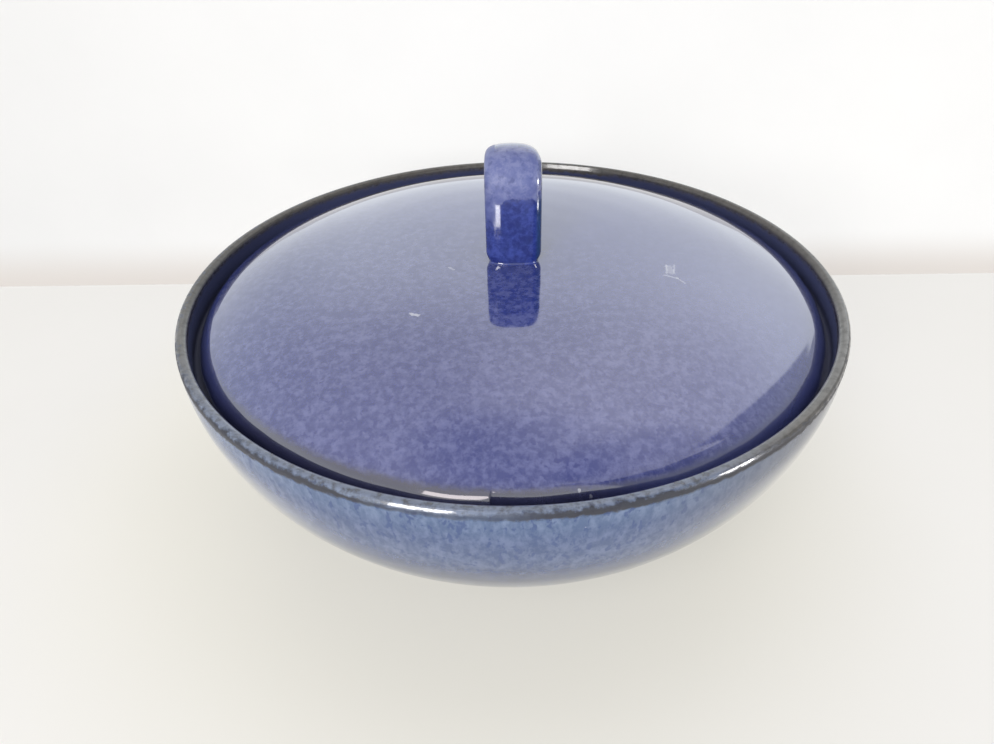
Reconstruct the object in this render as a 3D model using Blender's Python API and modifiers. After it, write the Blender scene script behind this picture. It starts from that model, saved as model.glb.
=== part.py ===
"""Lidded candy dish in glazed stoneware: a bowl, a domed lid and the strap handle on the lid.

Lengths are in metres and +Z is up. The origin is the centre of the foot ring, on the table.
The handle's loop stands in the YZ plane, so its opening is seen along X.
"""

import math

import bmesh
import bpy

# Bowl
RIM_DIAMETER = 0.180
BOWL_HEIGHT = 0.0675
LIP_WIDTH = 0.0029
WALL = 0.0050
BASE_THICKNESS = 0.0060
INSIDE_FULLNESS = 2.4
FOOT_DIAMETER = 0.080
FOOT_HEIGHT = 0.0030
FOOT_RING_WIDTH = 0.0070
FOOT_TAPER = 0.0008

# Seat that carries the lid inside the rim
COLLAR_DEPTH = 0.0085
LEDGE_WIDTH = 0.0066
LEDGE_THICKNESS = 0.0035
LEDGE_COVE = 0.0035
SEAT_GAP = 0.0003

# Lid
LID_PLAY = 0.0014
LID_EDGE = 0.0036
LID_RISE = 0.0139
LID_WALL = 0.0052
LID_FULLNESS = 4.0
LID_SEAT_WIDTH = 0.0075

# Strap handle
STRAP_WIDTH = 0.0146
STRAP_THICKNESS = 0.0056
STRAP_FULLNESS = 2.6
HANDLE_SPAN = 0.0186
HANDLE_HEIGHT = 0.0291
HANDLE_SHIFT = 0.0012
FOOT_FLARE = 0.10
FLARE_HEIGHT = 0.0016
CUT_DEPTH = 0.0030

# Facets
TURN_STEPS = 64

# Sizes that follow from the ones above
RIM_RADIUS = RIM_DIAMETER / 2
LIP_ROUND = 0.45 * LIP_WIDTH
COLLAR_RADIUS = RIM_RADIUS - LIP_WIDTH
LEDGE_RADIUS = COLLAR_RADIUS - LEDGE_WIDTH
LEDGE_TOP = BOWL_HEIGHT - COLLAR_DEPTH
LID_SEAT = LEDGE_TOP + SEAT_GAP
LID_RADIUS = COLLAR_RADIUS - LID_PLAY
LID_CROWN = LID_EDGE + LID_RISE
LID_SHOULDER_ROUND = 0.9 * LID_EDGE


def clear_scene():
    """Remove whatever objects the file opens with."""
    for item in list(bpy.data.objects):
        bpy.data.objects.remove(item, do_unlink=True)


def new_collection(name):
    group = bpy.data.collections.new(name)
    bpy.context.scene.collection.children.link(group)
    return group


def new_material(name, colour, roughness):
    """Plain shader for one piece, not metallic."""
    material = bpy.data.materials.new(name)
    material.use_nodes = True
    shader = material.node_tree.nodes["Principled BSDF"]
    shader.inputs["Base Color"].default_value = (*colour, 1.0)
    shader.inputs["Roughness"].default_value = roughness
    shader.inputs["Metallic"].default_value = 0.0
    return material


def round_corners(corners, steps=4):
    """Turn (radius, height, rounding) corners into a line with an arc at each rounded corner."""
    points = []
    for index, (x, z, rounding) in enumerate(corners):
        if rounding == 0.0:
            points.append((x, z))
            continue
        before = corners[index - 1]
        after = corners[index + 1]
        angle_in = math.atan2(before[1] - z, before[0] - x)
        angle_out = math.atan2(after[1] - z, after[0] - x)
        opening = (angle_out - angle_in + math.pi) % (2 * math.pi) - math.pi
        bisector = angle_in + opening / 2
        reach = rounding / math.sin(abs(opening) / 2)
        centre_x = x + reach * math.cos(bisector)
        centre_z = z + reach * math.sin(bisector)
        turn = math.copysign(math.pi - abs(opening), opening)
        for step in range(steps + 1):
            angle = bisector + math.pi + turn / 2 - turn * step / steps
            points.append((centre_x + rounding * math.cos(angle), centre_z + rounding * math.sin(angle)))
    return points


def turn_profile(name, profile, collection):
    """Spin a profile of (radius, height) points once around Z into a closed solid."""
    mesh = bpy.data.meshes.new(name)
    vertices = [(x, 0.0, z) for x, z in profile]
    edges = [(index, index + 1) for index in range(len(profile) - 1)]
    mesh.from_pydata(vertices, edges, [])
    solid = bpy.data.objects.new(name, mesh)
    collection.objects.link(solid)
    spin = solid.modifiers.new("Turned on the wheel", "SCREW")
    spin.axis = "Z"
    spin.angle = 2 * math.pi
    spin.steps = TURN_STEPS
    spin.render_steps = TURN_STEPS
    spin.use_merge_vertices = True
    spin.merge_threshold = 0.00001
    return solid


def freeze(item):
    """Replace an object's modifiers or curve by the mesh that they make."""
    bpy.context.view_layer.update()
    shaped = item.evaluated_get(bpy.context.evaluated_depsgraph_get())
    mesh = bpy.data.meshes.new_from_object(shaped)
    name = item.name
    place = item.matrix_world.copy()
    collection = item.users_collection[0]
    bpy.data.objects.remove(item, do_unlink=True)
    work = bmesh.new()
    work.from_mesh(mesh)
    bmesh.ops.remove_doubles(work, verts=work.verts, dist=0.00001)
    bmesh.ops.recalc_face_normals(work, faces=work.faces)
    work.to_mesh(mesh)
    work.free()
    mesh.name = name
    solid = bpy.data.objects.new(name, mesh)
    solid.matrix_world = place
    collection.objects.link(solid)
    return solid


def smooth(solid, sharp_degrees=40):
    """Shade a round piece smooth and keep its real edges crisp."""
    solid.data.shade_smooth()
    solid.data.set_sharp_from_angle(angle=math.radians(sharp_degrees))


def bowl_profile():
    """Half section of the bowl, from the middle of its floor over the lip to the middle of its base."""
    widest = BOWL_HEIGHT - LIP_ROUND
    floor = FOOT_HEIGHT + BASE_THICKNESS
    foot_radius = FOOT_DIAMETER / 2

    # The inside is a full round hollow that runs up to the cove under the ledge.
    cove_top = LEDGE_TOP - LEDGE_THICKNESS
    inside_radius = RIM_RADIUS - WALL
    inside_depth = widest - floor
    cove_share = (widest - cove_top + LEDGE_COVE) / inside_depth
    last_angle = math.asin(cove_share ** (INSIDE_FULLNESS / 2))
    inside = []
    for step in range(13):
        angle = math.pi / 2 + (last_angle - math.pi / 2) * step / 12
        across = abs(math.cos(angle)) ** (2 / INSIDE_FULLNESS) if step else 0.0
        down = math.sin(angle) ** (2 / INSIDE_FULLNESS)
        inside.append((inside_radius * across, widest - inside_depth * down))

    # The ledge, the thin collar above it and the lip.
    seat = round_corners(
        [
            (*inside[-2], 0.0),
            (*inside[-1], 0.8 * LEDGE_COVE),
            (LEDGE_RADIUS, cove_top, 0.4 * LEDGE_THICKNESS),
            (LEDGE_RADIUS, LEDGE_TOP, 0.25 * LEDGE_THICKNESS),
            (COLLAR_RADIUS, LEDGE_TOP, 0.25 * LEDGE_THICKNESS),
            (COLLAR_RADIUS, BOWL_HEIGHT, 0.8 * LIP_ROUND),
            (RIM_RADIUS, BOWL_HEIGHT, LIP_ROUND),
            (RIM_RADIUS, widest - LIP_ROUND, 0.0),
        ],
        steps=3,
    )

    # The outside is a quarter of an ellipse from the lip down to the top of the foot ring.
    outside_depth = (widest - FOOT_HEIGHT) / math.sqrt(1 - (foot_radius / RIM_RADIUS) ** 2)
    foot_angle = math.acos(foot_radius / RIM_RADIUS)
    outside = []
    for step in range(1, 15):
        angle = foot_angle * step / 14
        outside.append((RIM_RADIUS * math.cos(angle), widest - outside_depth * math.sin(angle)))

    # The trimmed foot ring and the shallow recess inside it.
    ring_inside = foot_radius - FOOT_RING_WIDTH
    foot = round_corners(
        [
            (*outside[-1], 0.0),
            (foot_radius - FOOT_TAPER, 0.0, 0.0007),
            (ring_inside, 0.0, 0.0007),
            (ring_inside - FOOT_TAPER, FOOT_HEIGHT, 0.0008),
            (0.0, FOOT_HEIGHT, 0.0),
        ],
        steps=2,
    )
    return inside[:-2] + seat[:-1] + outside[:-1] + foot


def lid_height(radius):
    """Height of the lid's top over its seat: nearly flat in the middle and falling away to the edge."""
    return LID_EDGE + LID_RISE * (1 - (radius / LID_RADIUS) ** LID_FULLNESS)


def lid_profile():
    """Half section of the lid, from the crown over the shoulder to the middle of the hollow underside."""
    last_ring = LID_RADIUS - 1.6 * LID_SHOULDER_ROUND
    top = []
    for step in range(12):
        radius = last_ring * math.sin(math.pi / 2 * step / 11) ** 0.9
        top.append((radius, lid_height(radius)))

    seat_inside = LID_RADIUS - LID_SEAT_WIDTH
    edge = round_corners(
        [
            (*top[-1], 0.0),
            (LID_RADIUS, lid_height(LID_RADIUS), LID_SHOULDER_ROUND),
            (LID_RADIUS, 0.0, 0.2 * LID_EDGE),
            (seat_inside, 0.0, 0.0),
        ],
        steps=5,
    )

    hollow_rise = LID_CROWN - LID_WALL
    underside = []
    for step in range(1, 11):
        radius = seat_inside * math.cos(math.pi / 2 * step / 10)
        underside.append((radius, hollow_rise * (1 - (radius / seat_inside) ** LID_FULLNESS)))
    underside[-1] = (0.0, hollow_rise)
    return top[:-1] + edge + underside


def strap_section():
    """Closed curve of the strap's flattened oval section, for use as a bevel object."""
    curve = bpy.data.curves.new("strap_section", "CURVE")
    curve.dimensions = "2D"
    spline = curve.splines.new("POLY")
    spline.points.add(23)
    for step, point in enumerate(spline.points):
        angle = 2 * math.pi * step / 24
        across = math.copysign(abs(math.cos(angle)) ** (2 / STRAP_FULLNESS), math.cos(angle))
        through = math.copysign(abs(math.sin(angle)) ** (2 / STRAP_FULLNESS), math.sin(angle))
        point.co = (STRAP_WIDTH / 2 * across, STRAP_THICKNESS / 2 * through, 0.0, 1.0)
    spline.use_cyclic_u = True
    return bpy.data.objects.new("strap_section", curve)


def strap_loop(section, collection):
    """Strap bent into an upside-down U, with feet that widen a little where they meet the lid."""
    middle_radius = (HANDLE_SPAN - STRAP_THICKNESS) / 2
    arch_height = HANDLE_HEIGHT - HANDLE_SPAN / 2
    leg = []
    leg.append((-CUT_DEPTH, 1 + FOOT_FLARE))
    for step in range(5):
        share = step / 4
        leg.append((FLARE_HEIGHT * share, 1 + FOOT_FLARE * (1 - share) ** 2))
    path = [(-middle_radius, height, size) for height, size in leg]
    for step in range(15):
        angle = math.pi - math.pi * step / 14
        path.append((middle_radius * math.cos(angle), arch_height + middle_radius * math.sin(angle), 1.0))
    path += [(middle_radius, height, size) for height, size in reversed(leg)]

    curve = bpy.data.curves.new("lid_handle", "CURVE")
    curve.dimensions = "3D"
    curve.twist_mode = "MINIMUM"
    curve.bevel_mode = "OBJECT"
    curve.bevel_object = section
    curve.use_fill_caps = True
    spline = curve.splines.new("POLY")
    spline.points.add(len(path) - 1)
    for point, (y, z, size) in zip(spline.points, path):
        point.co = (HANDLE_SHIFT, y, LID_CROWN + z, 1.0)
        point.radius = size
    loop = bpy.data.objects.new("lid_handle", curve)
    collection.objects.link(loop)
    return loop


clear_scene()
dish = new_collection("lidded_candy_dish")
cutters = new_collection("cutters")

# Bowl, thrown in one piece with its ledge and foot
bowl = freeze(turn_profile("bowl", bowl_profile(), dish))
smooth(bowl)
bowl.data.materials.append(new_material("blue_glaze_bowl", (0.040, 0.062, 0.170), 0.16))

# Lid, carried by an empty on the line along which it lifts out
lift = bpy.data.objects.new("lid_lift", None)
lift.location = (0.0, 0.0, LID_SEAT)
lift.empty_display_size = 0.02
dish.objects.link(lift)
lid = freeze(turn_profile("lid", lid_profile(), dish))
smooth(lid)
lid.data.materials.append(new_material("blue_glaze_lid", (0.030, 0.042, 0.165), 0.12))
lid.parent = lift

# Handle, a flat strap whose feet are cut to sit on the dome
section = strap_section()
cutters.objects.link(section)
section.hide_render = True
section.display_type = "WIRE"
handle = freeze(strap_loop(section, dish))
seat_cut = []
for ring in range(9):
    ring_radius = HANDLE_SPAN * ring / 8
    seat_cut.append((ring_radius, lid_height(ring_radius) + SEAT_GAP))
seat_cut.append((HANDLE_SPAN, LID_CROWN - 3 * CUT_DEPTH))
seat_cut.append((0.0, LID_CROWN - 3 * CUT_DEPTH))
dome_cutter = freeze(turn_profile("dome_cutter", seat_cut, cutters))
dome_cutter.hide_render = True
dome_cutter.display_type = "WIRE"
cut = handle.modifiers.new("Feet cut to the dome", "BOOLEAN")
cut.operation = "DIFFERENCE"
cut.solver = "EXACT"
cut.object = dome_cutter
handle = freeze(handle)
smooth(handle)
handle.data.materials.append(new_material("blue_glaze_handle", (0.030, 0.042, 0.175), 0.12))
handle.parent = lift
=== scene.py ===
import math

import bmesh
import bpy
from mathutils import Matrix, Vector, noise


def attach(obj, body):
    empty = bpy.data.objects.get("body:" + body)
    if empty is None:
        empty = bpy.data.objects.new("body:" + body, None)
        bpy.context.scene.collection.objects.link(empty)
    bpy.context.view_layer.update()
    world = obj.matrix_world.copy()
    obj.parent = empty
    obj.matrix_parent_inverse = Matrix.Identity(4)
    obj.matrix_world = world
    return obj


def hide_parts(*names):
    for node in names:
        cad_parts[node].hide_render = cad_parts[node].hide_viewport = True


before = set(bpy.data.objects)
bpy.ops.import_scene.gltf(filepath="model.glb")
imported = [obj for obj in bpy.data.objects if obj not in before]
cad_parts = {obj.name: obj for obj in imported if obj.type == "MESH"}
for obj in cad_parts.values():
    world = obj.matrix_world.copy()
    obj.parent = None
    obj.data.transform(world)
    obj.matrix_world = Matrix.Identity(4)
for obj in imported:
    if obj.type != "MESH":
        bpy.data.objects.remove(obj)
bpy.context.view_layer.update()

# Bowl
# One piece of iron-bearing stoneware, thrown on the wheel: a round bowl on a trimmed foot ring, with a ledge
# inside the rim for the lid. Dipped in blue glaze, which breaks to olive brown where it thins over the lip.
# The collar and the ledge inside the rim are painted dark, a painted shade for the gap under the lid.
# The foot ring is wiped bare, so that it doesn't stick in the kiln.
rim_radius = 0.0900
bowl_height = 0.0675
lip_width = 0.0029
lip_round = 0.42 * lip_width
wall = 0.0050
foot_radius = 0.0400
foot_height = 0.0030
foot_ring_width = 0.0070
foot_taper = 0.0008
bowl_floor = 0.0090
inside_fullness = 2.4
collar_radius = rim_radius - lip_width
ledge_radius = collar_radius - 0.0066
ledge_top = bowl_height - 0.0085
ledge_thickness = 0.0035
ledge_cove = 0.0035
pressed_from = bowl_height - 0.0021
pressed_fade = 5.0
finger_ring = 0.0062
longest_step = 0.0016
turn_steps = 288


def round_corners(corners, steps):
    """Turn (radius, height, rounding) corners into a line with an arc at each rounded corner."""
    line = []
    for index, (x, z, rounding) in enumerate(corners):
        if rounding == 0.0:
            line.append((x, z))
            continue
        before = corners[index - 1]
        after = corners[index + 1]
        angle_in = math.atan2(before[1] - z, before[0] - x)
        angle_out = math.atan2(after[1] - z, after[0] - x)
        opening = (angle_out - angle_in + math.pi) % (2 * math.pi) - math.pi
        bisector = angle_in + opening / 2
        reach = rounding / math.sin(abs(opening) / 2)
        centre_x = x + reach * math.cos(bisector)
        centre_z = z + reach * math.sin(bisector)
        turn = math.copysign(math.pi - abs(opening), opening)
        for step in range(steps + 1):
            angle = bisector + math.pi + turn / 2 - turn * step / steps
            line.append((centre_x + rounding * math.cos(angle), centre_z + rounding * math.sin(angle)))
    return line


def even_steps(line, longest):
    """Split the long stretches of an outline, so that the hand's unevenness has points to move."""
    split = [line[0]]
    for (x0, z0), (x1, z1) in zip(line, line[1:]):
        pieces = max(1, math.ceil(math.hypot(x1 - x0, z1 - z0) / longest))
        for piece in range(1, pieces + 1):
            share = piece / pieces
            split.append((x0 + (x1 - x0) * share, z0 + (z1 - z0) * share))
    return split


def finish_body(name, clay):
    """Turn the modelled clay into a smooth object in the scene."""
    bmesh.ops.recalc_face_normals(clay, faces=clay.faces)
    mesh = bpy.data.meshes.new(name)
    clay.to_mesh(mesh)
    clay.free()
    mesh.shade_smooth()
    body = bpy.data.objects.new(name, mesh)
    bpy.context.scene.collection.objects.link(body)
    return body


def turn_on_wheel(name, outline, by_hand, angles):
    """Spin an outline that runs from axis to axis into a closed body, a little uneven as hands leave it."""
    clay = bmesh.new()
    rings = []
    for radius, height in outline:
        if radius < 1e-6:
            rings.append([clay.verts.new((0.0, 0.0, height))])
            continue
        ring = []
        for angle in angles:
            across, up = by_hand(radius, height, angle)
            ring.append(clay.verts.new((across * math.cos(angle), across * math.sin(angle), up)))
        rings.append(ring)
    for lower, upper in zip(rings, rings[1:]):
        for turn in range(len(angles)):
            after = turn + 1
            corners = [
                lower[turn % len(lower)],
                lower[after % len(lower)],
                upper[after % len(upper)],
                upper[turn % len(upper)],
            ]
            clay.faces.new(list(dict.fromkeys(corners)))
    return finish_body(name, clay)


def bowl_outline():
    """Half section of the bowl, from the middle of its floor over the lip to the middle of its base."""
    widest = bowl_height - lip_round
    cove_top = ledge_top - ledge_thickness
    inside_radius = rim_radius - wall
    inside_depth = widest - bowl_floor
    cove_share = (widest - cove_top + ledge_cove) / inside_depth
    last_angle = math.asin(cove_share ** (inside_fullness / 2))
    inside = []
    for step in range(41):
        angle = math.pi / 2 + (last_angle - math.pi / 2) * step / 40
        across = abs(math.cos(angle)) ** (2 / inside_fullness) if step else 0.0
        down = math.sin(angle) ** (2 / inside_fullness)
        inside.append((inside_radius * across, widest - inside_depth * down))
    seat = round_corners(
        [
            (*inside[-2], 0.0),
            (*inside[-1], 0.8 * ledge_cove),
            (ledge_radius, cove_top, 0.4 * ledge_thickness),
            (ledge_radius, ledge_top, 0.25 * ledge_thickness),
            (collar_radius, ledge_top, 0.25 * ledge_thickness),
            (collar_radius, pressed_from, 0.0),
            (collar_radius, bowl_height, 1.15 * lip_round),
            (rim_radius, bowl_height, lip_round),
            (rim_radius, widest - lip_round, 0.0),
        ],
        steps=14,
    )
    outside_depth = (widest - foot_height) / math.sqrt(1 - (foot_radius / rim_radius) ** 2)
    foot_angle = math.acos(foot_radius / rim_radius)
    outside = []
    for step in range(1, 61):
        angle = foot_angle * step / 60
        outside.append((rim_radius * math.cos(angle), widest - outside_depth * math.sin(angle)))
    ring_inside = foot_radius - foot_ring_width
    foot = round_corners(
        [
            (*outside[-1], 0.0),
            (foot_radius - foot_taper, 0.0, 0.0007),
            (ring_inside, 0.0, 0.0007),
            (ring_inside - foot_taper, foot_height, 0.0008),
            (0.0, foot_height, 0.0),
        ],
        steps=5,
    )
    return even_steps(inside[:-2] + seat[:-1] + outside[:-1] + foot, longest_step)


def ease(share):
    """Go smoothly from 0 to 1 and hold at both ends."""
    share = min(1.0, max(0.0, share))
    return share * share * (3 - 2 * share)


def turned_from(angle, towards):
    """Degrees from a direction on the wheel to an angle, from -180 to 180."""
    return (math.degrees(angle) - towards + 180.0) % 360.0 - 180.0


def pressed_share(angle, towards, reach):
    """How much of a finger's pressure an angle of the rim gets: 1 within reach, then fading out."""
    return ease((reach + pressed_fade - abs(turned_from(angle, towards))) / pressed_fade)


def press_outside(radius, height, angle, towards, reach, lean):
    """Flatten the lip's outer rounding where a finger pressed it."""
    lean = math.radians(lean)
    out = radius - rim_radius + lip_round
    up = height - bowl_height + lip_round
    if out < -1e-7 or up < -1e-7:
        return radius, height
    over = out * math.cos(lean) + up * math.sin(lean) - lip_round * math.cos(lean)
    over = 0.7 * pressed_share(angle, towards, reach) * max(0.0, over)
    return radius - over * math.cos(lean), height - over * math.sin(lean)


def press_inside(radius, height, angle, towards, reach, lean):
    """Slope the lip's inner edge where a finger pressed it."""
    if height <= pressed_from or radius >= collar_radius + lip_width / 2:
        return radius, height
    flat = collar_radius + (height - pressed_from) * math.tan(math.radians(lean))
    return radius + pressed_share(angle, towards, reach) * max(0.0, flat - radius), height


def bowl_by_hand(radius, height, angle):
    """The fingers press the lip in three places and leave faint rings; the rim runs a hair out of true."""
    radius, height = press_outside(radius, height, angle, towards=-101.0, reach=9.0, lean=31.0)
    radius, height = press_outside(radius, height, angle, towards=-58.0, reach=7.0, lean=30.0)
    radius, height = press_inside(radius, height, angle, towards=75.6, reach=8.0, lean=19.5)
    around = Vector((math.cos(angle), math.sin(angle), 0.0))
    high = min(1.0, max(0.0, height / bowl_height))
    drift = noise.noise(around * 1.1 + Vector((0.0, 0.0, 4.0)))
    rise = noise.noise(around * 1.4 + Vector((0.0, 0.0, 9.0)))
    ring = math.sin(2 * math.pi * height / finger_ring + 2.0 * drift)
    on_wall = 1.0 if foot_height < height < ledge_top else 0.0
    across = radius + 0.00016 * high * drift + 0.000012 * on_wall * ring
    return across, height + 0.00010 * high * high * rise


full_turn = [2 * math.pi * step / turn_steps for step in range(turn_steps)]
bowl = turn_on_wheel("stoneware_bowl", bowl_outline(), bowl_by_hand, full_turn)


def lay(tree, kind, feeds=None, **options):
    """Add a shader node, set its options, and feed its sockets with values or with other nodes' outputs."""
    made = tree.nodes.new(kind)
    for option, value in options.items():
        setattr(made, option, value)
    for socket, feed in (feeds or {}).items():
        if isinstance(feed, bpy.types.NodeSocket):
            tree.links.new(feed, made.inputs[socket])
        else:
            made.inputs[socket].default_value = feed
    return made


def blend_colour(tree, share, under, over):
    """Colour that goes from under to over as share goes from 0 to 1."""
    made = lay(tree, "ShaderNodeMix", {0: share, 6: under, 7: over}, data_type="RGBA")
    return made.outputs[2]


def blend_value(tree, share, under, over):
    made = lay(tree, "ShaderNodeMix", {0: share, 2: under, 3: over}, data_type="FLOAT")
    return made.outputs[0]


def reckon(tree, operation, first, second=0.0):
    made = lay(tree, "ShaderNodeMath", {0: first, 1: second}, operation=operation)
    return made.outputs[0]


def add(tree, first, *others):
    for other in others:
        first = reckon(tree, "ADD", first, other)
    return first


def both(tree, first, *others):
    """Masks multiplied: the places where all of them are."""
    for other in others:
        first = reckon(tree, "MULTIPLY", first, other)
    return first


def either(tree, first, *others):
    """The strongest of some masks: the places where any of them is."""
    for other in others:
        first = reckon(tree, "MAXIMUM", first, other)
    return first


def without(tree, mask):
    """The places where a mask is not."""
    return reckon(tree, "SUBTRACT", 1.0, mask)


def apart(tree, value, middle):
    """How far a value is from a middle, to either side."""
    return reckon(tree, "ABSOLUTE", reckon(tree, "SUBTRACT", value, middle))


def off_axis(tree, where):
    """Distance from the axis of the wheel."""
    return reckon(tree, "SQRT", add(tree, both(tree, where[0], where[0]), both(tree, where[1], where[1])))


def measure(tree, operation, first, second=(0.0, 0.0, 0.0)):
    """Single value from two directions or places, such as their dot product or distance."""
    made = lay(tree, "ShaderNodeVectorMath", {0: first, 1: second}, operation=operation)
    return made.outputs["Value"]


def stretch(tree, value, low, high, low_to=0.0, high_to=1.0):
    """Ease a value from low..high to low_to..high_to and hold it at the ends."""
    feeds = {"Value": value, "From Min": low, "From Max": high, "To Min": low_to, "To Max": high_to}
    made = lay(tree, "ShaderNodeMapRange", feeds, interpolation_type="SMOOTHSTEP")
    return made.outputs[0]


def cloudy(tree, place, scale, detail, roughness=0.55, distortion=0.0):
    """Value of a soft random cloud, about 0.5 on average. Scale is clouds per metre."""
    feeds = {"Vector": place, "Scale": scale, "Detail": detail}
    feeds.update({"Roughness": roughness, "Distortion": distortion})
    return lay(tree, "ShaderNodeTexNoise", feeds).outputs["Fac"]


def ragged_edge(tree, place, scale, detail, roughness, width):
    """Random shift, to both sides of 0, that makes the edge of a glaze ragged."""
    cloud = cloudy(tree, place, scale, detail, roughness)
    return both(tree, reckon(tree, "SUBTRACT", cloud, 0.5), width)


def new_group(name, inputs, outputs):
    """Empty shader node group with named sockets."""
    group = bpy.data.node_groups.new(name, "ShaderNodeTree")
    for label, kind in inputs:
        group.interface.new_socket(name=label, in_out="INPUT", socket_type="NodeSocket" + kind)
    for label, kind in outputs:
        group.interface.new_socket(name=label, in_out="OUTPUT", socket_type="NodeSocket" + kind)
    return group, group.nodes.new("NodeGroupInput").outputs, group.nodes.new("NodeGroupOutput").inputs


# The glaze's colour: pale crystals in a deep blue glass, thicker and thinner in clouds, with dark flecks.
mottled_glaze, given, gives = new_group(
    "mottled_glaze",
    [("Place", "Vector"), ("Deep", "Color"), ("Pale", "Color"), ("Fleck", "Color"), ("Flecks", "Float")],
    [("Colour", "Color"), ("Mottle", "Float")],
)
crystals = stretch(mottled_glaze, cloudy(mottled_glaze, given["Place"], 500.0, 4.0, 0.66, 0.2), 0.34, 0.70)
drifts = stretch(mottled_glaze, cloudy(mottled_glaze, given["Place"], 46.0, 3.0, 0.6), 0.25, 0.75)
milk = add(mottled_glaze, both(mottled_glaze, crystals, 0.87), both(mottled_glaze, drifts, 0.13))
specks = stretch(mottled_glaze, cloudy(mottled_glaze, given["Place"], 600.0, 2.0, 0.55, 0.2), 0.53, 0.68)
blue = blend_colour(mottled_glaze, milk, given["Deep"], given["Pale"])
flecked = blend_colour(mottled_glaze, both(mottled_glaze, specks, given["Flecks"]), blue, given["Fleck"])
mottled_glaze.links.new(flecked, gives["Colour"])
mottled_glaze.links.new(milk, gives["Mottle"])

# The glaze's skin: the slow swell of molten glass, and a few pinholes where a bubble burst.
glaze_skin, given, gives = new_group(
    "glaze_skin",
    [("Place", "Vector")],
    [("Height", "Float"), ("Pinholes", "Float")],
)
swell = cloudy(glaze_skin, given["Place"], 260.0, 3.0, 0.6)
cells = lay(glaze_skin, "ShaderNodeTexVoronoi", {"Vector": given["Place"], "Scale": 130.0, "Randomness": 1.0})
lot = lay(glaze_skin, "ShaderNodeSeparateColor", {0: cells.outputs["Color"]}).outputs[0]
hollows = stretch(glaze_skin, cells.outputs["Distance"], 0.016, 0.034, 1.0, 0.0)
pits = both(glaze_skin, hollows, stretch(glaze_skin, lot, 0.80, 0.84))
glaze_skin.links.new(reckon(glaze_skin, "SUBTRACT", swell, pits), gives["Height"])
glaze_skin.links.new(pits, gives["Pinholes"])

# The clay where no glaze covers it: toasted stoneware with dark iron specks and a sandy tooth.
bare_clay, given, gives = new_group(
    "bare_clay",
    [("Place", "Vector")],
    [("Colour", "Color"), ("Height", "Float")],
)
toast = stretch(bare_clay, cloudy(bare_clay, given["Place"], 180.0, 5.0, 0.6), 0.3, 0.7)
sand = cloudy(bare_clay, given["Place"], 1900.0, 3.0, 0.6)
iron = stretch(bare_clay, cloudy(bare_clay, given["Place"], 950.0, 2.0), 0.64, 0.70)
body_colour = blend_colour(bare_clay, toast, (0.300, 0.205, 0.135, 1.0), (0.430, 0.320, 0.225, 1.0))
bare_clay.links.new(blend_colour(bare_clay, iron, body_colour, (0.070, 0.045, 0.030, 1.0)), gives["Colour"])
bare_clay.links.new(sand, gives["Height"])


def new_finish(name):
    """Material with its tree, its shader and the place on the piece, in metres."""
    finish = bpy.data.materials.new(name)
    finish.use_nodes = True
    tree = finish.node_tree
    place = lay(tree, "ShaderNodeTexCoord").outputs["Object"]
    return finish, tree, tree.nodes["Principled BSDF"], place


def use_group(tree, group, **feeds):
    return lay(tree, "ShaderNodeGroup", feeds, node_tree=group).outputs


def shine(shader, index):
    """How strongly the glaze and the clear skin over it mirror, as an index of refraction."""
    shader.inputs["IOR"].default_value = index
    shader.inputs["Coat IOR"].default_value = index
    shader.inputs["Coat Roughness"].default_value = 0.03


def roughen(tree, shader, height):
    """Give the surface its fine relief."""
    bump = lay(tree, "ShaderNodeBump", {"Height": height, "Strength": 1.0, "Distance": 0.000012})
    tree.links.new(bump.outputs["Normal"], shader.inputs["Normal"])


bowl_finish, tree, shader, place = new_finish("bowl_glaze")
where = lay(tree, "ShaderNodeSeparateXYZ", {0: place}).outputs
from_axis = off_axis(tree, where)
# Lighter near the rim, where the glaze is thinner; painted darker and greyer towards the foot, a painted
# shade where the wall faces down into the shade under the bowl.
paler = stretch(tree, where[2], bowl_height - 0.0100, bowl_height - 0.0020)
low = stretch(tree, where[2], 0.052, 0.038)
deep = blend_colour(tree, paler, (0.048, 0.077, 0.174, 1.0), (0.068, 0.107, 0.206, 1.0))
deep = blend_colour(tree, low, deep, (0.025, 0.038, 0.085, 1.0))
pale = blend_colour(tree, paler, (0.114, 0.150, 0.264, 1.0), (0.137, 0.185, 0.294, 1.0))
pale = blend_colour(tree, low, pale, (0.075, 0.090, 0.155, 1.0))
fleck = (0.034, 0.062, 0.172, 1.0)
run_down = lay(tree, "ShaderNodeVectorMath", {0: place, 1: (1.0, 1.0, 0.6)}, operation="MULTIPLY").outputs[0]
glaze = use_group(tree, mottled_glaze, Place=run_down, Deep=deep, Pale=pale, Fleck=fleck, Flecks=0.75)
skin = use_group(tree, glaze_skin, Place=place)
clay = use_group(tree, bare_clay, Place=place)
ragged_height = add(tree, where[2], ragged_edge(tree, place, 560.0, 4.0, 0.65, 0.0024))
bare = stretch(tree, ragged_height, 0.0014, 0.0008)

# The lip, where the glaze runs thin: a little further down in some places than in others.
lip_top = add(tree, ragged_height, stretch(tree, apart(tree, where[0], -0.020), 0.012, 0.018, 0.0005, 0.0))
for begin, end, shift in ((-0.006, 0.010, -0.0002), (0.030, 0.042, 0.0004), (-0.034, -0.050, -0.0002)):
    lip_top = add(tree, lip_top, stretch(tree, where[0], begin, end, 0.0, shift))
lip_outside = stretch(tree, lip_top, bowl_height - 0.0008, bowl_height - 0.0002)
past_lip = stretch(tree, from_axis, collar_radius + 0.0010, collar_radius + 0.0016)
lip_inside = stretch(tree, ragged_height, bowl_height - 0.0039, bowl_height - 0.0026)
lip_inside = both(tree, lip_inside, without(tree, past_lip))
on_lip = either(tree, lip_outside, lip_inside)
at_front = both(tree, stretch(tree, where[1], -0.030, -0.066), stretch(tree, where[0], 0.062, 0.030))
lip_colour = blend_colour(tree, at_front, (0.080, 0.075, 0.070, 1.0), (0.132, 0.166, 0.250, 1.0))
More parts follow.
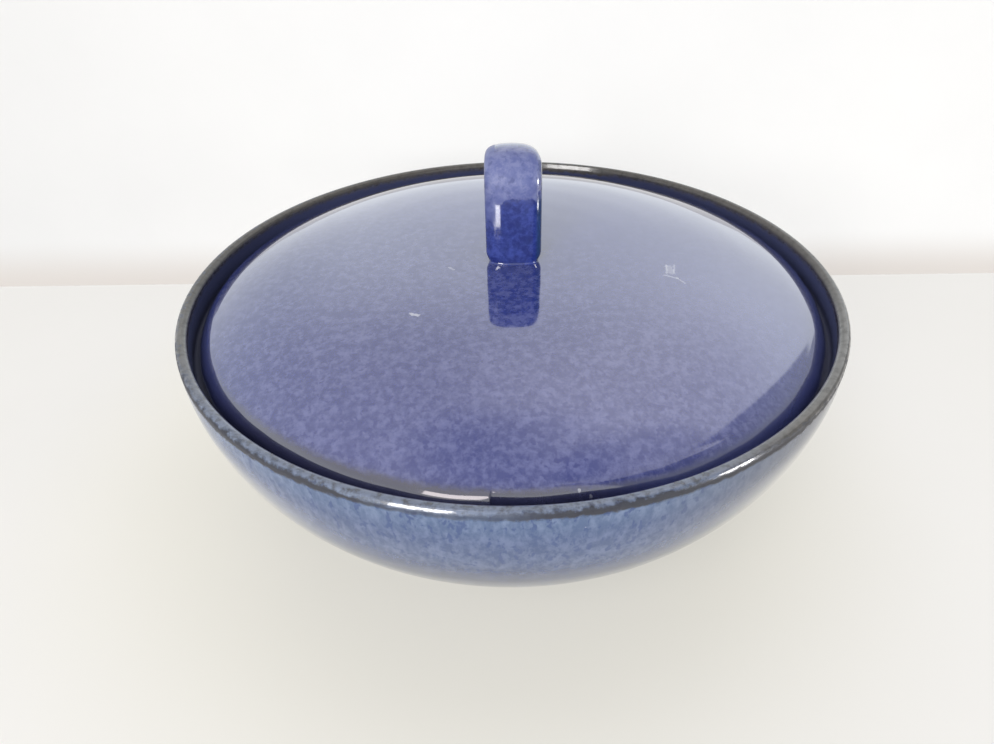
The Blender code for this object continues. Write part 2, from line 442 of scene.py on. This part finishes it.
worn = stretch(tree, cloudy(tree, place, 520.0, 4.0, 0.65), 0.42, 0.70, 0.0, 0.75)
lip_colour = blend_colour(tree, worn, lip_colour, (0.040, 0.038, 0.036, 1.0))

# The dark line that the glaze leaves below the lip, and the painted shade on the collar and the ledge inside.
lip_line = stretch(tree, ragged_height, bowl_height - 0.0025, bowl_height - 0.0017)
lip_line = both(tree, reckon(tree, "SUBTRACT", lip_line, lip_outside), past_lip)
line_share = both(tree, lip_line, stretch(tree, apart(tree, where[0], -0.012), 0.006, 0.022, 0.55, 0.9))
pressed = stretch(tree, apart(tree, where[0], 0.0215), 0.018, 0.012)
pressed = both(tree, pressed, stretch(tree, where[1], 0.060, 0.070))
pressed = both(tree, pressed, stretch(tree, ragged_height, pressed_from - 0.0012, pressed_from))
# Painted shade for the gap under the lid: collar and ledge darker, darkest down at the ledge, and left dull.
collar_shade = stretch(tree, from_axis, collar_radius + 0.0006, collar_radius + 0.0001)
collar_shade = both(tree, collar_shade, stretch(tree, where[2], ledge_top - 0.0015, ledge_top - 0.0005))
collar_shade = both(tree, collar_shade, stretch(tree, ragged_height, bowl_height - 0.0009, bowl_height - 0.0032))
collar_shade = both(tree, collar_shade, without(tree, pressed))
over_ledge = stretch(tree, ragged_height, ledge_top + 0.0004, ledge_top + 0.0030)
collar_shade_colour = blend_colour(tree, over_ledge, (0.030, 0.035, 0.075, 1.0), (0.048, 0.059, 0.138, 1.0))

# Towards the front right the wall is painted grey: partly the glaze's greyer colour there, partly a painted
# sheen of the light grazing that side.
sheen_and_grey_glaze_right = stretch(tree, where[0], 0.018, 0.075, 0.0, 0.85)
sheen_and_grey_glaze_right = both(tree, sheen_and_grey_glaze_right, stretch(tree, where[1], 0.030, -0.015))
colour = blend_colour(tree, sheen_and_grey_glaze_right, glaze["Colour"], (0.100, 0.106, 0.122, 1.0))
colour = blend_colour(tree, on_lip, colour, lip_colour)
colour = blend_colour(tree, line_share, colour, (0.020, 0.018, 0.020, 1.0))
colour = blend_colour(tree, collar_shade, colour, collar_shade_colour)
colour = blend_colour(tree, skin["Pinholes"], colour, (0.30, 0.32, 0.40, 1.0))
tree.links.new(blend_colour(tree, bare, colour, clay["Colour"]), shader.inputs["Base Color"])
satin = both(tree, worn, stretch(tree, where[1], 0.0, -0.020, 0.15, 0.36))
satin = either(tree, stretch(tree, where[1], 0.066, 0.082, 0.0, 0.10), satin)
dry = either(tree, bare, both(tree, on_lip, satin), both(tree, collar_shade, 0.7), both(tree, lip_line, 0.5))
glossy = stretch(tree, glaze["Mottle"], 0.0, 1.0, 0.05, 0.12)
tree.links.new(blend_value(tree, dry, glossy, 0.85), shader.inputs["Roughness"])
wet_lip = both(tree, on_lip, stretch(tree, where[1], 0.010, -0.035, 0.25, 1.0))
wet_lip = both(tree, wet_lip, without(tree, both(tree, worn, 0.7)))
wet_wall = stretch(tree, apart(tree, where[0], 0.0), 0.030, 0.062, 0.30, 0.95)
wet_wall = both(tree, wet_wall, stretch(tree, where[2], 0.063, 0.052), without(tree, bare))
wet = both(tree, either(tree, wet_lip, wet_wall), without(tree, collar_shade))
tree.links.new(wet, shader.inputs["Coat Weight"])
roughen(tree, shader, blend_value(tree, bare, skin["Height"], clay["Height"]))
shine(shader, 1.48)
bowl.data.materials.append(bowl_finish)
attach(bowl, "bowl_body")
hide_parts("bowl")

# Lid
# A thrown and turned disc of the same clay, flat in the middle and falling away to a rounded shoulder. It
# rests on the ledge inside the rim by its own weight, with a little play all round. Glazed on the top and in
# the hollow; the ring that it stands on is wiped bare.
lid_seat = ledge_top + 0.0003
lid_radius = collar_radius - 0.0014
lid_edge = 0.0036
lid_rise = 0.0139
lid_fullness = 4.0
lid_wall = 0.0052
lid_seat_inside = lid_radius - 0.0075
shoulder_start = 0.0811
shoulder_start_front = 0.0813
shoulder_start_aside = 0.0816
shoulder_round = 0.0080
share_on_dome = 0.12
share_round = 0.72
steepest = math.radians(76.0)
dome_steps = 90
shoulder_steps = 32
fuller_from = 0.068
tool_ring = 0.0105


def lid_height(radius):
    """Height of the lid's top over its seat."""
    return lid_edge + lid_rise * (1 - (radius / lid_radius) ** lid_fullness)


def shoulder_point(share, start, rounding):
    """Point of the shoulder: on along the dome, then round, then straight down to the seat at share 1."""
    if share < share_on_dome:
        radius = shoulder_start + (start - shoulder_start) * share / share_on_dome
        return radius, lid_seat + lid_height(radius)
    slope = math.atan(lid_rise * lid_fullness / lid_radius * (start / lid_radius) ** (lid_fullness - 1))
    lean = slope + (steepest - slope) * min(1.0, (share - share_on_dome) / (share_round - share_on_dome))
    radius = start + rounding * (math.sin(lean) - math.sin(slope))
    height = lid_seat + lid_height(start) - rounding * (math.cos(slope) - math.cos(lean))
    if share > share_round:
        drop = (height - lid_seat - 0.2 * lid_edge) * (share - share_round) / (1 - share_round)
        radius += drop / math.tan(steepest)
        height -= drop
    return radius, height


dome_points = []
for step in range(dome_steps + 1):
    dome_radius = shoulder_start * step / dome_steps
    dome_points.append((dome_radius, lid_seat + lid_height(dome_radius)))
on_dome = set(dome_points)
shoulder_shares = {}
for step in range(1, shoulder_steps + 1):
    point = shoulder_point(step / shoulder_steps, shoulder_start_aside, shoulder_round)
    shoulder_shares[point] = step / shoulder_steps


def lid_outline():
    """Half section of the lid, from the crown over the shoulder to the middle of the hollow underside."""
    shoulder = list(shoulder_shares)
    edge = round_corners(
        [
            (*shoulder[-1], 0.0),
            (shoulder[-1][0], lid_seat, 0.1 * lid_edge),
            (lid_seat_inside, lid_seat, 0.0),
        ],
        steps=5,
    )
    hollow_rise = lid_edge + lid_rise - lid_wall
    underside = []
    for step in range(1, 61):
        radius = lid_seat_inside * (1 - step / 60)
        underside.append((radius, lid_seat + hollow_rise * (1 - (radius / lid_seat_inside) ** lid_fullness)))
    return even_steps(dome_points + shoulder + edge[1:] + underside, longest_step)


def shoulder_at(angle):
    """Start and rounding of the shoulder: it starts sooner at the front, and is tightest right of a nick."""
    from_front = turned_from(angle, -90.0)
    if from_front < -3.0:
        soonest = shoulder_start_front + 0.0005 * min(1.0, max(0.0, (from_front + 18.0) / 6.0))
        tightest = 0.0066
        reach = 40.0
    else:
        soonest = shoulder_start_front
        tightest = 0.0042
        reach = 9.0
    share = ease((abs(from_front) - reach) / 22.0)
    waver = 0.0003 * noise.noise(Vector((math.cos(angle), math.sin(angle), 0.0)) * 9.0)
    start = soonest + (shoulder_start_aside + 0.0001 * math.cos(angle) - soonest) * share + waver
    return max(start, shoulder_start + 0.00005), tightest + (shoulder_round - tightest) * share


def fuller(angle):
    """How much fuller the dome is towards its edge: most at the back right, a little at the back left."""
    at_right = ease(1.0 - abs(turned_from(angle, 30.0)) / 50.0)
    at_left = ease(1.0 - abs(turned_from(angle, 160.0)) / 40.0)
    return 0.00040 * at_right + 0.00012 * at_left


def lid_by_hand(radius, height, angle):
    """The turning tool leaves faint rings on the top, and the glaze lies in slow swells."""
    place = Vector((radius * math.cos(angle), radius * math.sin(angle), 0.0))
    if (radius, height) in shoulder_shares:
        share = shoulder_shares[radius, height]
        ripple = 0.00006 * share * share * noise.noise(place * 170.0 + Vector((0.0, 0.0, 500.0 * height)))
        across, up = shoulder_point(share, *shoulder_at(angle))
        return across + ripple, up + ripple + fuller(angle) * (1 - share)
    if radius > lid_seat_inside and height < lid_seat + 0.25 * lid_edge:
        outermost = shoulder_point(1.0, shoulder_start_aside, shoulder_round)[0]
        share = (radius - lid_seat_inside) / (outermost - lid_seat_inside)
        return radius + share * (shoulder_point(1.0, *shoulder_at(angle))[0] - outermost), height
    if (radius, height) not in on_dome:
        return radius, height
    ring = math.sin(2 * math.pi * radius / tool_ring + 1.5 * noise.noise(place * 20.0))
    swell = noise.noise(place * 150.0)
    full = fuller(angle) * ease((radius - fuller_from) / (shoulder_start - fuller_from))
    return radius, height + 0.000010 * ring + 0.000006 * swell + full


nick = math.radians(267.0)
by_nick = [nick + math.radians(shift) for shift in (-0.5, -0.25, -0.05, 0.05, 0.3, 0.6)]
lid_turn = sorted(full_turn + by_nick)
lid = turn_on_wheel("domed_lid", lid_outline(), lid_by_hand, lid_turn)

lid_finish, tree, shader, place = new_finish("lid_glaze")
where = lay(tree, "ShaderNodeSeparateXYZ", {0: place}).outputs
calm = stretch(tree, add(tree, where[0], where[1]), -0.030, 0.040, 0.0, 0.6)
deep = blend_colour(tree, calm, (0.003, 0.014, 0.155, 1.0), (0.044, 0.057, 0.222, 1.0))
pale = blend_colour(tree, calm, (0.082, 0.098, 0.276, 1.0), (0.044, 0.057, 0.222, 1.0))
fleck = blend_colour(tree, calm, (0.002, 0.012, 0.155, 1.0), (0.036, 0.048, 0.205, 1.0))
glaze = use_group(tree, mottled_glaze, Place=place, Deep=deep, Pale=pale, Fleck=fleck, Flecks=0.85)
skin = use_group(tree, glaze_skin, Place=place)
clay = use_group(tree, bare_clay, Place=place)
ragged = ragged_edge(tree, place, 420.0, 3.0, 0.6, 0.0008)
bare = stretch(tree, add(tree, where[2], ragged), lid_seat + 0.0008, lid_seat + 0.0004)
# The glaze is painted darker over the edge, and darker and greyer still at the front, a painted dark
# reflection and shade along the front shoulder.
at_front = both(tree, stretch(tree, where[1], -0.040, -0.065), stretch(tree, where[0], 0.035, 0.010))
sooner = stretch(tree, apart(tree, where[0], 0.030), 0.014, 0.032, 0.0, 0.0004)
over_edge = add(tree, off_axis(tree, where), both(tree, ragged, 2.0), both(tree, at_front, 0.0008), sooner)
over_edge = stretch(tree, over_edge, shoulder_start + 0.0008, shoulder_start + 0.0024, 0.0, 0.9)
edge_glaze_and_front_reflection = blend_colour(tree, at_front, (0.042, 0.052, 0.168, 1.0), (0.032, 0.033, 0.078, 1.0))
colour = blend_colour(tree, over_edge, glaze["Colour"], edge_glaze_and_front_reflection)

# Knocks and scratches in the glaze, painted pale, each along a short stroke on the top: from, to, half width
# and strength. They are a chip, whose white is a painted glint, a pit, a scratch and two white dots on the
# shoulder.
strokes = (
    ((-0.0240, -0.0321), (-0.0222, -0.0329), 0.00045, 0.7),
    ((-0.0160, -0.0101), (-0.0147, -0.0114), 0.00035, 0.4),
    ((0.0409, -0.0139), (0.0415, -0.0091), 0.00026, 0.36),
    ((0.0429, -0.0131), (0.0437, -0.0088), 0.00026, 0.36),
    ((0.0401, -0.0145), (0.0433, -0.0156), 0.00028, 0.42),
    ((0.0433, -0.0156), (0.0449, -0.0178), 0.00025, 0.35),
    ((0.0419, -0.0100), (0.0422, -0.0128), 0.00100, 0.3),
    ((0.0132, -0.0812), (0.0134, -0.0812), 0.00022, 0.7),
    ((0.0156, -0.0816), (0.0158, -0.0816), 0.00018, 0.4),
)
on_plan = lay(tree, "ShaderNodeVectorMath", {0: place, 1: (1.0, 1.0, 0.0)}, operation="MULTIPLY").outputs[0]
torn = ragged_edge(tree, place, 1500.0, 2.0, 0.6, 0.0008)
for begin, end, width, strength in strokes:
    stroke = Vector((*end, 0.0)) - Vector((*begin, 0.0))
    feeds = {0: on_plan, 1: (*begin, 0.0)}
    offset = lay(tree, "ShaderNodeVectorMath", feeds, operation="SUBTRACT").outputs[0]
    along = measure(tree, "DOT_PRODUCT", offset, stroke / stroke.length_squared)
    along = reckon(tree, "MINIMUM", either(tree, along, 0.0), 1.0)
    nearest = lay(tree, "ShaderNodeVectorMath", {0: stroke, "Scale": along}, operation="SCALE").outputs[0]
    ragged_distance = add(tree, measure(tree, "DISTANCE", offset, nearest), torn)
    knock_and_glint = stretch(tree, ragged_distance, 1.4 * width, 0.6 * width, 0.0, strength)
    colour = blend_colour(tree, knock_and_glint, colour, (0.480, 0.500, 0.600, 1.0))
pale_pit = (0.30, 0.32, 0.42, 1.0)
colour = blend_colour(tree, skin["Pinholes"], colour, pale_pit)
tree.links.new(blend_colour(tree, bare, colour, clay["Colour"]), shader.inputs["Base Color"])
glossy = stretch(tree, glaze["Mottle"], 0.0, 1.0, 0.05, 0.11)
tree.links.new(blend_value(tree, bare, glossy, 0.85), shader.inputs["Roughness"])
tree.links.new(without(tree, bare), shader.inputs["Coat Weight"])
roughen(tree, shader, blend_value(tree, bare, skin["Height"], clay["Height"]))
shine(shader, 1.75)
lid.data.materials.append(lid_finish)
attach(lid, "lid_body")
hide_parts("lid")

# Handle
# A flat strap of the same clay, pulled by hand, bent into a loop and stuck on the lid's middle with slip. The
# slip is smoothed into a small hollow round each foot, and lid and handle are glazed together.
strap_width = 0.0146
strap_thickness = 0.0056
strap_fullness = 2.5
handle_span = 0.0186
handle_height = 0.0291
handle_shift = 0.0012
strap_taper = 0.0020
slip_hollow = 0.0005
foot_corner = 0.0030
lid_crown = lid_seat + lid_edge + lid_rise


def strap_section(steps=56):
    """Points round the strap's flattened oval, as (along the width, along the thickness) from -1 to 1."""
    points = []
    for step in range(steps):
        angle = 2 * math.pi * step / steps
        across = math.copysign(abs(math.cos(angle)) ** (2 / strap_fullness), math.cos(angle))
        through = math.copysign(abs(math.sin(angle)) ** (2 / strap_fullness), math.sin(angle))
        points.append((across, through))
    return points


def strap_place(across, along):
    """Place across the handle; the strap was pulled thinner on its way over to the back foot."""
    narrower = strap_taper * ease((along - 0.30) / 0.40)
    return handle_shift - 0.35 * narrower + across * (strap_width - narrower) / 2


def handle_rings():
    """Rings of points from one foot over the loop to the other, each with the slip's flare at the feet."""
    middle = (handle_span - strap_thickness) / 2
    arch = handle_height - handle_span / 2
    section = strap_section()
    stations = []
    for step in range(9):
        slope = math.pi / 2 * (1 - step / 8)
        stations.append(("foot", slip_hollow * (1 - math.cos(slope)), slip_hollow * (1 - math.sin(slope))))
    for step in range(1, 9):
        stations.append(("leg", 0.0, slip_hollow + (foot_corner - slip_hollow) * step / 8))
    for step in range(1, 15):
        stations.append(("leg", 0.0, foot_corner + (arch - foot_corner) * step / 14))
    rings = []
    for side in (-1, 1):
        column = []
        for kind, flare, height in stations:
            ring = []
            tuck = 1 - 0.16 * max(0.0, 1 - height / foot_corner) ** 2
            for across, through in section:
                length = math.hypot(across / strap_width, through / strap_thickness)
                x = strap_place(tuck * across, (side + 1) / 2) + flare * across / strap_width / length
                inward = through * strap_thickness / 2 + flare * through / strap_thickness / length
                y = side * (middle - inward)
                ground = lid_seat + lid_height(math.hypot(x, y))
                lift = (1 - height / arch) * (ground - lid_crown) if kind == "leg" else ground - lid_crown
                ring.append((x, y, lid_crown + lift + height))
            column.append(ring)
        rings.append(column)
    loop = []
    for step in range(1, 40):
        angle = math.pi - math.pi * step / 40
        ring = []
        for across, through in section:
            reach = middle - through * strap_thickness / 2
            x = strap_place(across, step / 40)
            ring.append((x, reach * math.cos(angle), lid_crown + arch + reach * math.sin(angle)))
        loop.append(ring)
    return rings[0] + loop + rings[1][::-1]


def strap_loop(name):
    """Closed body through the handle's rings, with a flat end on each foot."""
    clay = bmesh.new()
    rings = []
    for ring in handle_rings():
        rings.append([clay.verts.new(point) for point in ring])
    for lower, upper in zip(rings, rings[1:]):
        for index in range(len(lower)):
            after = (index + 1) % len(lower)
            clay.faces.new((lower[index], lower[after], upper[after], upper[index]))
    clay.faces.new(rings[0])
    clay.faces.new(rings[-1])
    return finish_body(name, clay)


handle = strap_loop("strap_handle")

handle_finish, tree, shader, place = new_finish("handle_glaze")
where = lay(tree, "ShaderNodeSeparateXYZ", {0: place}).outputs
sideways = reckon(tree, "SUBTRACT", where[0], handle_shift)
ragged_height = add(tree, where[2], ragged_edge(tree, place, 380.0, 3.0, 0.6, 0.0020))

# Painted light: the bend and the left edge are painted pale, a painted sheen of the room's light,
# and the legs dark, a painted shade with a painted dark reflection of the lid in them.
corner = stretch(tree, apart(tree, sideways, 0.0014), 0.0030, 0.0052, 0.0, 0.0014)
on_bend = stretch(tree, add(tree, ragged_height, corner), lid_crown + 0.0180, lid_crown + 0.0190)
left_edge = stretch(tree, ragged_height, lid_crown + 0.0080, lid_crown + 0.0150, 0.0, 0.7)
left_edge = both(tree, left_edge, stretch(tree, sideways, -0.0028, -0.0042))
paler = either(tree, on_bend, left_edge)
leg = stretch(tree, ragged_height, lid_crown + 0.0190, lid_crown + 0.0170)
right_edge_reflection = both(tree, leg, stretch(tree, sideways, 0.0054, 0.0066, 0.0, 0.7))
deep = blend_colour(tree, paler, (0.000, 0.008, 0.120, 1.0), (0.052, 0.072, 0.240, 1.0))
pale = blend_colour(tree, paler, (0.026, 0.048, 0.270, 1.0), (0.138, 0.160, 0.335, 1.0))
fleck = (0.004, 0.018, 0.140, 1.0)
glaze = use_group(tree, mottled_glaze, Place=place, Deep=deep, Pale=pale, Fleck=fleck, Flecks=0.5)
skin = use_group(tree, glaze_skin, Place=place)
# The legs' right edge is painted dark teal, a painted reflection.
colour = blend_colour(tree, right_edge_reflection, glaze["Colour"], (0.006, 0.034, 0.090, 1.0))
colour = blend_colour(tree, skin["Pinholes"], colour, pale_pit)
tree.links.new(colour, shader.inputs["Base Color"])

# Dull: the front of the bend between its edges, and the outermost left edge.
dull = both(tree, on_bend, stretch(tree, where[1], -0.0010, -0.0045))
dull = both(tree, dull, stretch(tree, sideways, -0.0064, -0.0052), stretch(tree, sideways, 0.0066, 0.0056))
dull = either(tree, dull, both(tree, left_edge, stretch(tree, sideways, -0.0044, -0.0047)))
glossy = stretch(tree, glaze["Mottle"], 0.0, 1.0, 0.05, 0.11)
tree.links.new(blend_value(tree, dull, glossy, 0.55), shader.inputs["Roughness"])
wet = both(tree, without(tree, dull), blend_value(tree, leg, 1.0, 0.15))
tree.links.new(wet, shader.inputs["Coat Weight"])
roughen(tree, shader, skin["Height"])
shine(shader, 1.75)
handle.data.materials.append(handle_finish)
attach(handle, "lid_body")
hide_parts("lid_handle")

# Table and backdrop
# A plain white painted table top, on which the dish stands by its own weight, and a plain white wall close
# behind it. The wall is only seen from the front, and it neither lights nor shades the dish.
wall_distance = 0.120
stage_reach = 4.0


def flat_sheet(name, corners):
    """Flat face through its corners, as a part of the stage."""
    mesh = bpy.data.meshes.new(name)
    mesh.from_pydata(corners, [], [tuple(range(len(corners)))])
    sheet = bpy.data.objects.new(name, mesh)
    bpy.context.scene.collection.objects.link(sheet)
    return sheet


def looked_at(tree):
    """The rays that show the stage: straight to the camera, mirrored, or through something clear."""
    rays = lay(tree, "ShaderNodeLightPath").outputs
    return add(tree, rays["Is Camera Ray"], rays["Is Glossy Ray"], rays["Is Transmission Ray"])


def lit_evenly(tree, shader, tone, share):
    """Show part of a stage's paint as evenly lit, so that it stays white and the shadow on it stays soft."""
    even = lay(tree, "ShaderNodeEmission", {"Color": tone})
    share = both(tree, looked_at(tree), share)
    mixed = lay(tree, "ShaderNodeMixShader", {0: share, 1: shader.outputs[0], 2: even.outputs[0]})
    tree.links.new(mixed.outputs[0], tree.nodes["Material Output"].inputs["Surface"])
    return mixed


table = flat_sheet(
    "table_top",
    [
        (-stage_reach, -stage_reach, 0),
        (stage_reach, -stage_reach, 0),
        (stage_reach, stage_reach, 0),
        (-stage_reach, stage_reach, 0),
    ],
)
table_paint, tree, shader, place = new_finish("table_paint")
uneven = stretch(tree, cloudy(tree, place, 9.0, 4.0), 0.3, 0.7)
tone = blend_colour(tree, uneven, (0.868, 0.860, 0.840, 1.0), (0.882, 0.874, 0.855, 1.0))
# Painted shadow: the paint is warmer and darker round the dish, a painted tint for its shadow.
shadow_tint_near = stretch(tree, measure(tree, "DISTANCE", place, (-0.015, 0.0, 0.0)), 0.080, 0.160, 1.0, 0.0)
tone = blend_colour(tree, shadow_tint_near, tone, (0.856, 0.840, 0.770, 1.0))
tree.links.new(tone, shader.inputs["Base Color"])
shader.inputs["Roughness"].default_value = 0.6
even_near = 0.48
even_far = stretch(tree, measure(tree, "LENGTH", place), 0.22, 0.50, even_near, 0.95)
straight = lay(tree, "ShaderNodeLightPath").outputs["Is Camera Ray"]
lit_evenly(tree, shader, tone, blend_value(tree, straight, even_near, even_far))
table.data.materials.append(table_paint)

backdrop = flat_sheet(
    "backdrop_wall",
    [
        (-stage_reach, wall_distance, 0),
        (stage_reach, wall_distance, 0),
        (stage_reach, wall_distance, stage_reach),
        (-stage_reach, wall_distance, stage_reach),
    ],
)
wall_paint, tree, shader, place = new_finish("wall_paint")
uneven = stretch(tree, cloudy(tree, place, 7.0, 4.0), 0.3, 0.7)
tone = blend_colour(tree, uneven, (0.905, 0.905, 0.900, 1.0), (0.940, 0.940, 0.935, 1.0))
where = lay(tree, "ShaderNodeSeparateXYZ", {0: place}).outputs
# Painted shade: the wall is darker to the left, and darker and warmer low down, where it meets the table.
shade_to_left = stretch(tree, where[0], -0.24, -0.05, 0.11, 0.0)
tone = blend_colour(tree, shade_to_left, tone, (0.0, 0.0, 0.0, 1.0))
shade_low_down = stretch(tree, where[2], 0.0, 0.024, 1.0, 0.0)
tone = blend_colour(tree, shade_low_down, tone, (0.735, 0.695, 0.660, 1.0))
tree.links.new(tone, shader.inputs["Base Color"])
shader.inputs["Roughness"].default_value = 0.8
even = lit_evenly(tree, shader, tone, 0.75)
straight = lay(tree, "ShaderNodeLightPath").outputs["Is Camera Ray"]
from_behind = both(tree, straight, lay(tree, "ShaderNodeNewGeometry").outputs["Backfacing"])
through = lay(tree, "ShaderNodeBsdfTransparent")
seen = lay(tree, "ShaderNodeMixShader", {0: from_behind, 1: even.outputs[0], 2: through.outputs[0]})
tree.links.new(seen.outputs[0], tree.nodes["Material Output"].inputs["Surface"])
backdrop.data.materials.append(wall_paint)
backdrop.visible_diffuse = False
backdrop.visible_glossy = False
backdrop.visible_shadow = False

# Light
# A white room, brighter towards the back right and darker at the far right. Two large soft boxes light the
# dish from above and from the front, and three small ones, two at the left and one at the right, put the
# highlights on the glaze.
room = bpy.data.worlds.new("white_room")
bpy.context.scene.world = room
room.use_nodes = True
tree = room.node_tree
light = tree.nodes["Background"]
light.inputs["Color"].default_value = (1.0, 0.99, 0.97, 1.0)
light.inputs["Strength"].default_value = 0.42
facing = lay(tree, "ShaderNodeTexCoord").outputs["Generated"]
upward = lay(tree, "ShaderNodeSeparateXYZ", {0: facing}).outputs
overhead_glow = stretch(tree, upward[2], 0.91, 1.0, 0.0, -0.32)
glow = add(tree, stretch(tree, upward[2], 0.45, 0.72, 1.18, 0.95), overhead_glow)
for way, wide, narrow, more in (
    ((0.513, 0.387, 0.766), 0.72, 0.985, 0.42),
    ((-0.754, 0.633, 0.174), 0.80, 0.97, -0.24),
    ((0.454, -0.122, 0.883), 0.927, 0.985, -0.42),
):
    towards = measure(tree, "DOT_PRODUCT", facing, way)
    glow = add(tree, glow, stretch(tree, towards, wide, narrow, 0.0, more))
past_edge = stretch(tree, measure(tree, "DOT_PRODUCT", facing, (0.653, -0.610, -0.449)), -0.010, 0.012)
compass = reckon(tree, "ARCTAN2", upward[1], upward[0])
far_right = both(tree, past_edge, stretch(tree, compass, -1.00, -0.90))
glow = both(tree, glow, stretch(tree, far_right, 0.0, 1.0, 1.0, 0.45))
straight = lay(tree, "ShaderNodeLightPath").outputs["Is Camera Ray"]
glow = blend_value(tree, straight, glow, 1.0)
higher = stretch(tree, upward[2], 0.35, 0.90)
tint = blend_colour(tree, higher, (0.942, 0.980, 1.0, 1.0), (1.0, 0.985, 0.965, 1.0))
white = lay(tree, "ShaderNodeBackground", {"Color": tint, "Strength": glow})
mixed = lay(tree, "ShaderNodeMixShader", {0: looked_at(tree), 1: light.outputs[0], 2: white.outputs[0]})
tree.links.new(mixed.outputs[0], tree.nodes["World Output"].inputs["Surface"])


def soft_box(name, place, aim_height, size, watts, colour):
    """Lamp with a rectangular face, turned to a point over the middle of the table."""
    lamp = bpy.data.lights.new(name, "AREA")
    lamp.shape = "RECTANGLE"
    lamp.size, lamp.size_y = size
    lamp.energy = watts
    lamp.color = colour
    box = bpy.data.objects.new(name, lamp)
    box.location = place
    aim = Vector((0.0, 0.0, aim_height)) - Vector(place)
    box.rotation_euler = aim.to_track_quat("-Z", "Y").to_euler()
    bpy.context.scene.collection.objects.link(box)
    return box


warm = (1.0, 0.98, 0.95)
plain = (1.0, 0.98, 0.97)
rosy = (1.0, 0.90, 0.90)
overhead = soft_box("overhead_soft_box", (0.0, 0.35, 1.3), 0.05, (1.4, 1.0), 5.4, warm)
soft_box("left_soft_box", (-0.490, -1.051, 0.355), 0.07, (0.36, 0.33), 7.0, plain)
soft_box("upper_left_soft_box", (-0.318, -0.787, 0.920), 0.07, (0.39, 0.25), 1.2, rosy)
front = soft_box("front_soft_box", (-0.35, -1.20, 0.95), 0.03, (1.2, 0.9), 8.0, warm)
soft_box("right_soft_box", (0.989, -0.482, 0.185), 0.07, (0.21, 0.20), 3.0, plain)
overhead.visible_glossy = False
front.visible_glossy = False

# Camera
# A wide lens held close to the dish, in front of it and looking down on it. Its place, its tilt and the lens
# were worked out from the rim's ellipse in the photograph.
camera_place = (0.0, -0.19254, 0.17499)
pitch = math.radians(36.004)
yaw = math.radians(-1.239)
roll = math.radians(-1.402)
picture_width = 994.0
focal_pixels = 777.5
ahead = Vector((math.sin(yaw) * math.cos(pitch), math.cos(yaw) * math.cos(pitch), -math.sin(pitch)))
level = Vector((math.cos(yaw), -math.sin(yaw), 0.0))
upright = level.cross(ahead)
rightward = level * math.cos(roll) + upright * math.sin(roll)
above = upright * math.cos(roll) - level * math.sin(roll)
lens = bpy.data.cameras.new("photo_camera")
lens.sensor_width = 36.0
lens.lens = focal_pixels / picture_width * lens.sensor_width
lens.clip_start = 0.01
camera = bpy.data.objects.new("photo_camera", lens)
turned = Matrix((rightward, above, -ahead)).transposed().to_4x4()
camera.matrix_world = Matrix.Translation(camera_place) @ turned
bpy.context.scene.collection.objects.link(camera)
bpy.context.scene.camera = camera

bpy.context.scene.view_settings.view_transform = "Standard"
